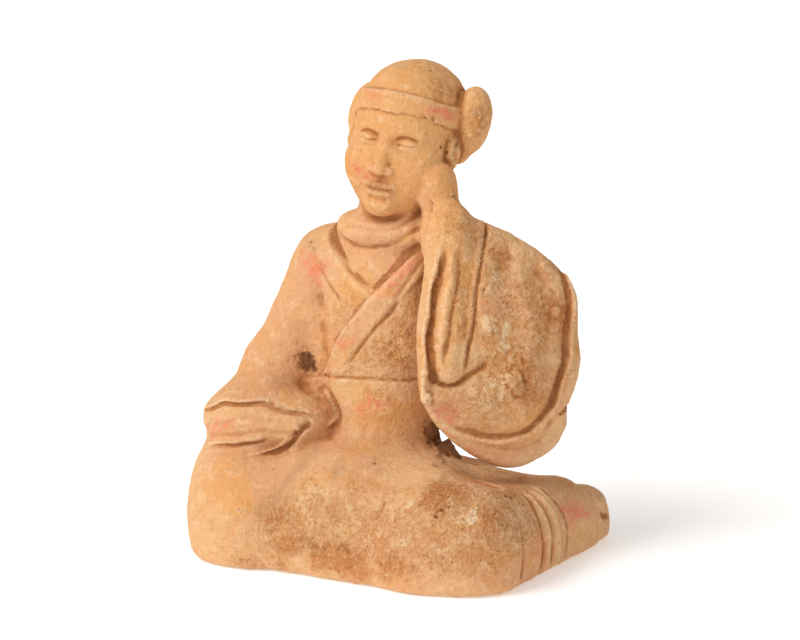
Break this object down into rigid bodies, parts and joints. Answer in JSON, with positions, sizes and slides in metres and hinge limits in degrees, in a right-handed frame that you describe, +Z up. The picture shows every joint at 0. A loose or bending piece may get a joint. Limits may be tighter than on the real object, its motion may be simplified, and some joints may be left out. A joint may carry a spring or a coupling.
{
  "type": "pottery courtier figure",
  "caption": "Seated robed figure of fired clay that leans its head towards a raised hand under a wide hanging sleeve; stands on a flat underside.",
  "frame": {"origin": "middle of the box's underside, on the surface that the figure stands on", "axes": "+Z up; the figure faces -Y; +X is the figure's own left"},
  "size_m": [0.3964, 0.3206, 0.5232],
  "materials": {
    "fired_clay": "matt unglazed fired clay, buff to orange, with traces of red pigment and soil"
  },
  "bodies": {
    "root": {"figure": "fired_clay"}
  },
  "joints": []
}
